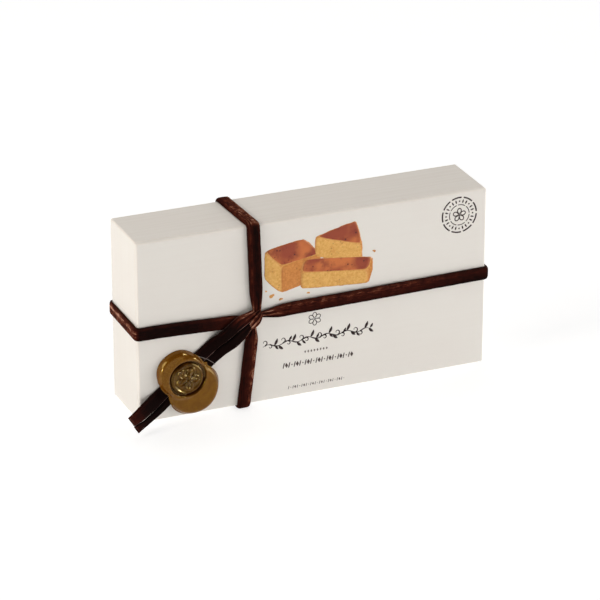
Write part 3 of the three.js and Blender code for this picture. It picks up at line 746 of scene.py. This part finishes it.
def tail_channel(x, z):
    """How high the wax has to stay clear of the lid, where the tails run under it."""
    offset = np.stack([x - TAIL_START[0], z - TAIL_START[2]], -1)
    side = np.abs(offset @ TAIL_UP[[0, 2]] - CHANNEL_SIDE)
    in_channel = 1 - smoothstep(side, CHANNEL_HALF_WIDTH - 0.2, CHANNEL_HALF_WIDTH + 0.5)
    return (PRESSED + CLEARANCE + CHANNEL_SPARE) * in_channel


def add_seal():
    angles = np.linspace(0, 2 * math.pi, SEAL_SIDES, endpoint=False)
    reach = seal_reach(angles)
    tops, bottoms = [], []
    for share in np.sin(np.linspace(0, math.pi / 2, SEAL_RINGS + 1)[1:]) ** 0.8:
        distance = reach * share
        x, z = (STAMP + distance[:, None] * heading(angles)).T
        foot = tail_channel(x, z)
        flow = uneven(np.stack([x, np.zeros_like(x), z], -1), SEAL_FLOW, 41)
        wax = np.maximum(seal_height(x, z) + flow, foot + 0.2) - foot
        top = foot + wax * dome(reach - distance, 1, SEAL_ROLL)
        tops.append(np.stack([x, -CLEARANCE / 2 - top, z], -1))
        bottoms.append(np.stack([x, -CLEARANCE / 2 - foot, z], -1))
    hubs = [(STAMP[0], -CLEARANCE / 2 - height(*STAMP), STAMP[1]) for height in (seal_height, tail_channel)]
    rings = tops + bottoms[-2::-1]
    points = np.concatenate([*rings, hubs])
    spots = points[:, [0, 2]]
    distances, around = from_stamp(spots)
    marks = {
        "stamped": 1 - smoothstep(distances, STAMP_RADIUS - 0.6, STAMP_RADIUS + 0.9),
        "groove": groove(distances, around),
        "disc": 1 - smoothstep(np.linalg.norm(spots - DISC[0], axis=1), DISC[1] - 2, DISC[1]),
    }
    faces = outward(points, lens_faces(len(rings), SEAL_SIDES))
    piece = add_mesh("bronze_wax_seal", points, faces, [WAX], marks=marks)
    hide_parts("wax_seal")


def wax_material():
    nodes = Nodes("bronze_wax")
    swirl = nodes.noise(130, 4.0, 0.6, distortion=1.6)
    flakes = nodes.noise(1500, 2.0, 0.8)
    tone = nodes.mix(nodes.spread(swirl, 0.3, 0.7), colour(98, 54, 6), colour(112, 68, 10))
    pearl = nodes.mix(nodes.spread(flakes, 0.45, 0.65), colour(94, 50, 6), colour(132, 88, 26))
    tone = nodes.mix(nodes.math("MULTIPLY", nodes.mark("disc"), 0.5), tone, pearl)
    mottled = nodes.mix(nodes.spread(swirl, 0.4, 0.6), colour(42, 20, 4), colour(76, 44, 9))
    tone = nodes.mix(nodes.math("MULTIPLY", nodes.mark("stamped"), 0.75), tone, mottled)
    # Painted shade in the groove that the stamp's edge left, strongest on the lower right
    tone = nodes.mix(nodes.spread(nodes.mark("groove"), 0.1, 0.6, 0.0, 0.95), tone, colour(52, 14, 3))
    nodes.shade(Base_Color=tone, Roughness=nodes.spread(swirl, 0.3, 0.7, 0.12, 0.17))
    nodes.shade(Specular_IOR_Level=0.46, Specular_Tint=(1.0, 0.7, 0.1, 1))
    nodes.shade(Coat_Weight=0.16, Coat_Roughness=0.05)
    nodes.shade(Normal=nodes.bump(nodes.noise(700, 3.0, 0.5), 0.0001, 0.12))
    return nodes.material


# ---- The thread ----

THREAD_RADIUS = 0.15
THREAD_SIDES = 10
THREAD_STEPS = 10  # between two of its places
THREAD_OVER = 0.12  # how far off the tails it runs
# Where it runs, in x and z, from under the seal over both tails to the bare lid
THREAD_PLACES = ((-71.4, 34.9), (-69.7, 34.5), (-66.7, 33.4), (-64.2, 32.2), (-62.1, 31.1),
                 (-60.3, 29.7), (-58.8, 28.5), (-58.0, 27.6), (-57.3, 26.6))


def smooth_route(keys, steps):
    """A Catmull-Rom curve through the points."""
    padded = np.concatenate([[2 * keys[0] - keys[1]], keys, [2 * keys[-1] - keys[-2]]])
    route = []
    for first in range(len(keys) - 1):
        a, b, c, d = padded[first:first + 4]
        for t in np.linspace(0, 1, steps, endpoint=False):
            route.append(0.5 * (2 * b + (c - a) * t + (2 * a - 5 * b + 4 * c - d) * t ** 2
                                + (3 * b - 3 * c + d - a) * t ** 3))
    return np.array([*route, keys[-1]])


def add_thread():
    on_lid = -CLEARANCE - THREAD_RADIUS
    keys = np.array([(x, on_lid - PRESSED - THREAD_OVER, z) for x, z in THREAD_PLACES])
    keys[-1, 1] = on_lid
    route = smooth_route(keys, THREAD_STEPS)
    along = unit(np.gradient(route, axis=0))
    sideways = unit(np.cross(along, np.array([0, 1, 0])))
    upwards = np.cross(sideways, along)
    turns = np.linspace(0, 2 * math.pi, THREAD_SIDES, endpoint=False)
    around = sideways[:, None] * np.cos(turns)[None, :, None] + upwards[:, None] * np.sin(turns)[None, :, None]
    flat = (route[:, None] + THREAD_RADIUS * around).reshape(-1, 3)
    faces = outward(flat, tube_faces(len(route), THREAD_SIDES))
    piece = add_mesh("fine_thread", flat, faces, [THREAD])
    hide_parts("seal_thread")


def thread_material():
    nodes = Nodes("pale_thread")
    ply = nodes.noise(3000, 2.0, 0.6)
    nodes.shade(Base_Color=nodes.mix(ply, colour(84, 72, 68), colour(132, 118, 112)), Roughness=0.6)
    nodes.shade(Sheen_Weight=0.2, Normal=nodes.bump(ply, 0.0001, 0.5))
    return nodes.material


# ---- The print on the lid ----
#
# Print is placed by x from the left edge of the lid and z from its lower edge. Each patch of colour
# is a thin closed plate, and patches that overlap stand at different heights.

PRINT_FOOT = 0.005
PRINT_RISE = 0.03
PRINT_LAYER = 0.012
PRINT_GAIN = 1.12  # the front of the box takes about nine tenths of full light


class Print:
    """Collects plates of one material."""

    def __init__(self, *marks):
        self.points, self.faces, self.marks = [], [], {mark: [] for mark in marks}

    def add(self, points, faces, marks):
        start = len(self.points)
        points = [(x - BOX_LENGTH / 2, y, z) for x, y, z in points]
        self.points += points
        self.faces += [tuple(start + index for index in face) for face in outward(points, faces)]
        for mark, values in self.marks.items():
            values.extend(np.broadcast_to(marks.get(mark, 0.0), len(points)))

    def plate(self, outline, layer, shares=(1.0,), **marks):
        """A rounded patch. Its inner rings carry how far in from the outline they lie."""
        outline = np.asarray(outline, float)
        top = PRINT_RISE + PRINT_LAYER * layer
        levels = [(1.0, PRINT_FOOT)] + [(share, top) for share in shares]
        points = [(x, -rise, z) for share, rise in levels for x, z in drawn_in(outline, share)]
        inner = [1 - share for share, _ in levels for _ in outline]
        middle_x, middle_z = outline.mean(0)
        points += [(middle_x, -PRINT_FOOT, middle_z), (middle_x, -top, middle_z)]
        self.add(points, lens_faces(len(levels), len(outline)), {**marks, "inner": np.array(inner + [1.0, 1.0])})

    def stroke(self, path, widths, layer=0, **marks):
        """A pen stroke along a path, with a width at each of its points."""
        path = np.asarray(path, float)
        run = unit(np.gradient(path, axis=0))
        side = np.stack([-run[:, 1], run[:, 0]], -1) * np.asarray(widths)[:, None] / 2
        top = PRINT_RISE + PRINT_LAYER * layer
        points = []
        for (x, z), (side_x, side_z) in zip(path, side):
            points += [(x + side_x, -PRINT_FOOT, z + side_z), (x + side_x, -top, z + side_z),
                       (x - side_x, -top, z - side_z), (x - side_x, -PRINT_FOOT, z - side_z)]
        self.add(points, tube_faces(len(path), 4), marks)

    def finish(self, name, material):
        add_mesh(name, self.points, self.faces, [material], marks=self.marks)


def drawn_in(outline, share):
    """An outline made smaller about its middle."""
    middle = outline.mean(0)
    return middle + (outline - middle) * share


def rounded(outline, corner):
    """A polygon with its corners cut by a share of each side, and what is left cut twice again."""
    outline = np.asarray(outline, float)
    for cut in (corner, 0.25, 0.25):
        following = np.roll(outline, -1, 0)
        outline = np.stack([lerp(outline, following, cut), lerp(outline, following, 1 - cut)], 1).reshape(-1, 2)
    return outline


def crumbly(outline, roughness, seed):
    """An outline walked in even steps and made uneven, like broken nougat."""
    closed = np.concatenate([outline, outline[:1]])
    lengths = reached(closed)
    samples = np.linspace(0, lengths[-1], int(lengths[-1] / CRUMB_SPACING), endpoint=False)
    walked = np.stack([np.interp(samples, lengths, closed[:, axis]) for axis in (0, 1)], -1)
    spots = np.stack([walked[:, 0], np.zeros(len(walked)), walked[:, 1]], -1)
    return walked + unit(walked - walked.mean(0)) * roughness * uneven(spots, CRUMB_LAYERS, seed)[:, None]


def hull(points):
    """The convex outline round some points."""
    ordered = sorted(tuple(point) for point in points)
    outline = []
    for run in (ordered, ordered[::-1]):
        chain = []
        for x, z in run:
            while len(chain) > 1:
                (ax, az), (bx, bz) = chain[-2:]
                if (bx - ax) * (z - az) - (bz - az) * (x - ax) > 0:
                    break
                chain.pop()
            chain.append((x, z))
        outline += chain[:-1]
    return np.array(outline)


# Blocks of nougat drawn from above the front: the middle of the foot on the lid, length, depth,
# height, turn in degrees, number of corners, and how much lower the top is at its far end
NOUGAT_BLOCKS = (
    (87.4, 68.4, 25.5, 21, 18.5, 27, 4, 2.6),
    (117.6, 79.6, 31, 24, 13, -22, 3, 1.4),
    (112.6, 63.6, 40, 15, 11, -9, 4, 2.0),
)
BLOCK_FEET = {
    3: ((-0.5, -0.35), (0.5, -0.5), (0.05, 0.55)),
    4: ((-0.5, -0.5), (0.5, -0.5), (0.5, 0.5), (-0.5, 0.5)),
}
DRAWN_DEPTH = 0.5  # of a depth, seen from above the front
DRAWN_HEIGHT = 0.87
FACE_SHARE = 0.97  # faces are drawn a little small, so that the body shows between them
PATCH_RINGS = (1.0, 0.93, 0.84, 0.7, 0.5, 0.25)
CRUMB_SPACING = 0.6
CRUMB_LAYERS = ((1, 2.6), (0.5, 0.9))
# Crumbs: where each lies, and its radius
NOUGAT_CRUMBS = ((75.4, 60.2, 1.4), (80.6, 57.6, 1.0), (96.4, 58.6, 0.8), (134.4, 76.4, 0.9), (72.2, 63.4, 0.6))


def add_nougat_print():
    drawn = Print("inner", "bake", "shade")
    for number, (x, z, length, depth, height, turn, corners, fall) in enumerate(NOUGAT_BLOCKS):
        ground = turned(np.array(BLOCK_FEET[corners]) * (length, depth), math.radians(turn))
        feet = np.array([x, z]) + ground * (1, DRAWN_DEPTH)
        heads = feet.copy()
        heads[:, 1] += (height - fall * (ground[:, 0] / length + 0.5)) * DRAWN_HEIGHT
        layer, seed = 3 * number, 60 + 10 * number
        body = crumbly(rounded(hull([*feet, *heads]), 0.08), 0.3, seed)
        drawn.plate(body, layer, PATCH_RINGS, shade=0.45)
        for first in range(corners):
            second = (first + 1) % corners
            (ax, ay), (bx, by) = ground[first], ground[second]
            facing = unit(np.array([by - ay, ax - bx]))
            if facing[1] > -0.15:
                continue
            face = rounded([feet[first], feet[second], heads[second], heads[first]], 0.06)
            shade = 0.0 if facing[0] < 0.3 else 0.8
            outline = crumbly(drawn_in(face, FACE_SHARE), 0.16, seed + 2 + first)
            drawn.plate(outline, layer + 1, PATCH_RINGS, shade=shade)
        top = crumbly(drawn_in(rounded(heads, 0.09), FACE_SHARE), 0.22, seed + 8)
        drawn.plate(top, layer + 2, PATCH_RINGS, bake=1.0, shade=0.2)
    turns = np.linspace(0, 2 * math.pi, 18, endpoint=False)
    for number, (x, z, radius) in enumerate(NOUGAT_CRUMBS):
        lumpy = radius * (1 + 0.22 * np.sin(2 * turns + number) + 0.14 * np.sin(3 * turns + 2 * number))
        outline = np.stack([x + lumpy * np.cos(turns), z + 0.75 * lumpy * np.sin(turns)], -1)
        drawn.plate(outline, 0, (1.0, 0.7, 0.4), shade=0.3, bake=0.25 * (number % 2))
    drawn.finish("printed_nougat", NOUGAT)


def nougat_material():
    nodes = Nodes("printed_nougat")
    bake, shade, inner = nodes.mark("bake"), nodes.mark("shade"), nodes.mark("inner")
    crumb, coarse, broad = nodes.noise(800, 4.0, 0.7), nodes.noise(190, 3.0, 0.6), nodes.noise(60, 2.0, 0.5)
    gain = PRINT_GAIN
    body = nodes.mix(nodes.spread(crumb, 0.3, 0.7), colour(206, 150, 72, gain), colour(224, 176, 98, gain))
    side = nodes.mix(nodes.spread(crumb, 0.3, 0.7), colour(182, 102, 44, gain), colour(204, 128, 58, gain))
    body = nodes.mix(shade, body, side)
    body = nodes.mix(nodes.spread(coarse, 0.5, 0.72, 0.0, 0.4), body, colour(194, 124, 52, gain))
    baked = nodes.mix(nodes.spread(broad, 0.4, 0.6), colour(196, 108, 54, gain), colour(146, 62, 36, gain))
    baked = nodes.mix(nodes.spread(coarse, 0.45, 0.7, 0.0, 0.6), baked, colour(116, 40, 26, gain))
    tone = nodes.mix(bake, body, baked)
    # Bits of roasted almond, darker on the baked tops
    bits = nodes.add("ShaderNodeTexVoronoi", {"Vector": nodes.place, "Scale": 420.0}).outputs["Distance"]
    few = nodes.math("MULTIPLY", nodes.spread(bits, 0.26, 0.12), nodes.spread(coarse, 0.48, 0.56))
    tone = nodes.mix(nodes.math("MULTIPLY", few, nodes.spread(bake, 0.0, 1.0, 0.25, 0.9)), tone, colour(74, 30, 24))
    rim = nodes.spread(inner, 0.0, 0.1, 1.0, 0.0)
    tone = nodes.mix(nodes.math("MULTIPLY", rim, 0.3), tone, colour(196, 118, 58, gain))
    nodes.shade(Base_Color=tone, Roughness=0.5, Specular_IOR_Level=0.3)
    return nodes.material


# ---- The printed ornament ----

VINE_FIRST, VINE_LAST, VINE_Z = 70.2, 133.0, 31.4
VINE_WAVES = 5.5
VINE_SHOOTS = 24
FLOWER = (100.1, 42.9)
# Lines of ornament: from x, to x, foot, height, spacing, the shapes in turn, and how faint they are
SHAPE_ROWS = (
    (94.6, 107.1, 23.8, 1.7, 1.8, ("lozenge",), 0.5),
    (82.2, 121.7, 17.0, 3.0, 1.55, ("bar", "lozenge", "bar", "dot"), 0.2),
    (85.0, 117.2, 4.3, 1.8, 1.3, ("bar", "dot", "bar", "lozenge"), 0.5),
)
ROUND_MARK = (184.1, 89.1)
ROUND_MARK_RADIUS = 10.0
ROUND_MARK_RAYS = 24


def leaf(ink, x, z, length, angle, width, **marks):
    """A pointed leaf that grows from a place, bent a little."""
    share = np.linspace(0, 1, 16)
    bend = math.radians(angle) + 0.5 * (share - 0.3)
    steps = heading(bend) * length / 15
    path = np.array([x, z]) + np.cumsum(np.concatenate([[[0, 0]], steps[1:]]), 0)
    ink.stroke(path, width * np.sin(math.pi * np.clip(share, 0.03, 0.97)) ** 0.8 + 0.06, **marks)


def curl(ink, x, z, radius, start, turns, width, **marks):
    """A tendril that winds in on itself, thick where it starts."""
    share = np.linspace(0, 1, 40)
    start = math.radians(start)
    angle = start + 2 * math.pi * turns * share
    centre = np.array([x, z]) - radius * heading(start)
    path = centre + heading(angle) * (radius * (1 - 0.72 * share))[:, None]
    ink.stroke(path, lerp(width, 0.22, share ** 0.6), **marks)


def ring_of_arcs(ink, centre, radius, arcs, gap, width, **marks):
    for arc in range(arcs):
        start = 2 * math.pi * arc / arcs + gap / radius / 2
        end = 2 * math.pi * (arc + 1) / arcs - gap / radius / 2
        angle = np.linspace(start, end, 20)
        path = np.array(centre) + radius * heading(angle)
        ink.stroke(path, np.full(20, width), **marks)


def small_flower(ink, centre, radius, petals, width, **marks):
    """Outlined petals round an eye."""
    angle = np.linspace(0.25, 2 * math.pi - 0.25, 22)
    outline = np.stack([radius * (0.62 - 0.38 * np.cos(angle)), 0.3 * radius * np.sin(angle)], -1)
    for petal in range(petals):
        path = np.array(centre) + turned(outline, 2 * math.pi * petal / petals + math.pi / 2)
        ink.stroke(path, np.full(22, width), **marks)
    ring_of_arcs(ink, centre, 0.13 * radius, 1, 0.0, width, **marks)


def lozenge(ink, x, z, width, height, **marks):
    ink.plate([(x - width / 2, z), (x, z - height / 2), (x + width / 2, z), (x, z + height / 2)], 0, **marks)


def row_of_shapes(ink, first, last, z, height, spacing, pattern, faint):
    """A line of ornament: lozenges, upright bars and dots in turn."""
    count = int(round((last - first) / spacing))
    for number in range(count + 1):
        x = lerp(first, last, number / count)
        kind = pattern[number % len(pattern)]
        if kind == "lozenge":
            lozenge(ink, x, z + height / 2, 0.62 * height, height, faint=faint)
        elif kind == "bar":
            path = [(x - 0.12 * height, z), (x, z + height / 2), (x + 0.12 * height, z + height)]
            ink.stroke(path, [0.16 * height, 0.22 * height, 0.16 * height], faint=faint)
        elif kind == "dot":
            lozenge(ink, x, z + height / 2, 0.3 * height, 0.3 * height, faint=faint)


def add_vine(ink):
    """A stem with leaves and tendrils by turns."""
    share = np.linspace(0, 1, 160)
    stem_x = lerp(VINE_FIRST, VINE_LAST, share)
    stem_z = VINE_Z + 0.9 * np.sin(share * 2 * math.pi * VINE_WAVES) + 0.8 * np.sin(share * math.pi)
    swell = 0.6 + 0.2 * np.sin(share * 4 * math.pi * VINE_WAVES)
    ink.stroke(np.stack([stem_x, stem_z], -1), swell * np.clip(12 * np.minimum(share, 1 - share), 0.3, 1))
    for number in range(VINE_SHOOTS):
        place = (number + 0.5) / VINE_SHOOTS
        x, z = np.interp(place, share, stem_x), np.interp(place, share, stem_z)
        up = number % 2 == 0
        if number % 4 < 2:
            curl(ink, x, z, 1.75 if up else 1.35, -80 if up else 100, 0.78 if up else -0.78, 0.95)
        else:
            leaf(ink, x, z, 4.4 if up else 3.6, 58 if up else -50, 1.5)
        if number % 3 == 2:
            leaf(ink, x + 0.6, z, 3.0, -58 if up else 52, 1.2)


def add_round_mark(ink):
    """A ringed flower in the corner."""
    ring_of_arcs(ink, ROUND_MARK, ROUND_MARK_RADIUS, 9, 1.2, 0.85, faint=0.05)
    ring_of_arcs(ink, ROUND_MARK, 5.8, 7, 0.8, 0.5, faint=0.15)
    for number in range(ROUND_MARK_RAYS):
        angle = 2 * math.pi * number / ROUND_MARK_RAYS
        (inner, outer), tip = ((6.8, 8.8), 0.4) if number % 3 else ((7.4, 8.3), 0.5)
        path = [np.array(ROUND_MARK) + heading(angle) * reach for reach in (inner, (inner + outer) / 2, outer)]
        ink.stroke(path, [tip, 0.95, tip], faint=0.1)
    small_flower(ink, ROUND_MARK, 3.7, 5, 0.6, faint=0.1)


def add_ornament():
    ink = Print("faint")
    add_vine(ink)
    small_flower(ink, FLOWER, 3.7, 6, 0.42, faint=0.05)
    for row in SHAPE_ROWS:
        row_of_shapes(ink, *row)
    add_round_mark(ink)
    ink.finish("printed_ornament", INK)


def ink_material():
    nodes = Nodes("printing_ink")
    worn = nodes.noise(1500, 3.0, 0.6)
    tone = nodes.mix(nodes.mark("faint"), colour(40, 20, 19), colour(142, 130, 124))
    tone = nodes.mix(nodes.spread(worn, 0.5, 0.75, 0.0, 0.25), tone, colour(120, 100, 94))
    nodes.shade(Base_Color=tone, Roughness=0.55, Specular_IOR_Level=0.25)
    return nodes.material


# ---- The stage ----

VIEW_AIM = (-8.4, 0, 55.2)
VIEW_DISTANCE = 1825
VIEW_SIDE = math.radians(22.95)
VIEW_HEIGHT = math.radians(23.71)
LENS, SENSOR = 207, 36

SOFTBOX_AIM = Vector((0, 0, 0.05))
SKY_TINT, SKY_STRENGTH = (1.0, 0.985, 0.965, 1), 0.04
FLOOR_RADIUS = 6
FLOOR_GLOW = 0.72  # keeps the pale floor as bright as a lit studio sweep

# Lamps: where each stands as seen from the box, how far, the two sides in metres, watts and tint.
# The small ones only make the sparks in the wax, and light nothing.
LAMPS = {
    "end_softbox": ((-0.866, -0.108, 0.487), 1.8, (0.9, 1.0), 19.3, (1, 0.955, 0.89)),
    "key_softbox": ((0.85, -0.45, 0.22), 2.0, (1.4, 1.1), 25.5, (1, 0.985, 0.96)),
    "top_softbox": ((0.1, 0.4, 0.89), 2.0, (1.2, 1.0), 15.8, (1, 0.98, 0.97)),
    "spark_top": ((0.5, -0.2, 0.8), 2.0, (0.32, 0.32), 22, (1, 0.96, 0.9)),
    "spark_right": ((0.87, -0.28, 0.4), 2.0, (0.32, 0.32), 26, (1, 0.96, 0.9)),
    "spark_left": ((-0.9, -0.42, 0.1), 2.0, (0.32, 0.32), 24, (1, 0.96, 0.9)),
}


def aim(thing, target, towards, distance):
    """Stands a camera or a lamp off its target and turns it to look back."""
    thing.location = target + towards * distance
    thing.rotation_mode = "QUATERNION"
    thing.rotation_quaternion = (-towards).to_track_quat("-Z", "Y")


def add_camera():
    data = bpy.data.cameras.new("camera")
    data.lens, data.sensor_width = LENS, SENSOR
    data.clip_start, data.clip_end = 0.05, 50
    camera = bpy.data.objects.new("camera", data)
    bpy.context.scene.collection.objects.link(camera)
    towards = Vector((
        -math.sin(VIEW_SIDE) * math.cos(VIEW_HEIGHT),
        -math.cos(VIEW_SIDE) * math.cos(VIEW_HEIGHT),
        math.sin(VIEW_HEIGHT),
    ))
    aim(camera, Vector(world(VIEW_AIM)), towards, VIEW_DISTANCE * MM)
    bpy.context.scene.camera = camera


def add_lamp(name, towards, distance, size, power, tint):
    data = bpy.data.lights.new(name, "AREA")
    data.shape, data.size, data.size_y = "RECTANGLE", size[0], size[1]
    data.energy, data.color = power, tint
    light = bpy.data.objects.new(name, data)
    light.visible_diffuse = not name.startswith("spark")
    bpy.context.scene.collection.objects.link(light)
    aim(light, SOFTBOX_AIM, Vector(towards).normalized(), distance)


def add_stage():
    scene = bpy.context.scene
    scene.view_settings.view_transform = "Standard"
    sky = bpy.data.worlds.new("studio")
    sky.use_nodes = True
    background = sky.node_tree.nodes["Background"].inputs
    background["Color"].default_value, background["Strength"].default_value = SKY_TINT, SKY_STRENGTH
    scene.world = sky
    for name, lamp in LAMPS.items():
        add_lamp(name, *lamp)
    nodes = Nodes("pale_floor")
    nodes.shade(Base_Color=(0.42, 0.42, 0.42, 1), Roughness=0.6, Specular_IOR_Level=0.2)
    nodes.shade(Emission_Color=(1, 1, 1, 1), Emission_Strength=FLOOR_GLOW)
    bpy.ops.mesh.primitive_circle_add(vertices=96, radius=FLOOR_RADIUS, fill_type="NGON", location=(0, 0, 0))
    floor = bpy.context.object
    floor.name = "floor"
    floor.data.materials.append(nodes.material)


# ---- The whole ----

WOOD = wood_material()
VELVET = velvet_material()
SELVAGE = selvage_material()
WAX = wax_material()
THREAD = thread_material()
NOUGAT = nougat_material()
INK = ink_material()

for node in ("box_lid", "box_tray"):
    wooden = frame["nodes"][node]
    wooden.data.materials.clear()
    wooden.data.materials.append(WOOD)

add_ribbon("velvet_long_way", long_way(), 1, "ribbon_long_way")
add_ribbon("velvet_short_way", short_way(), 7, "ribbon_short_way")
add_ribbon("velvet_tail_upper", tail(True), 13, "ribbon_tail_upper", (0.97, 0.9), -TAIL_UP, 0.6)
add_ribbon("velvet_tail_lower", tail(False), 19, "ribbon_tail_lower", (0.95, 0.9), -TAIL_UP, 0.6)
add_knot()
add_seal()
add_thread()
add_nougat_print()
add_ornament()
add_camera()
add_stage()
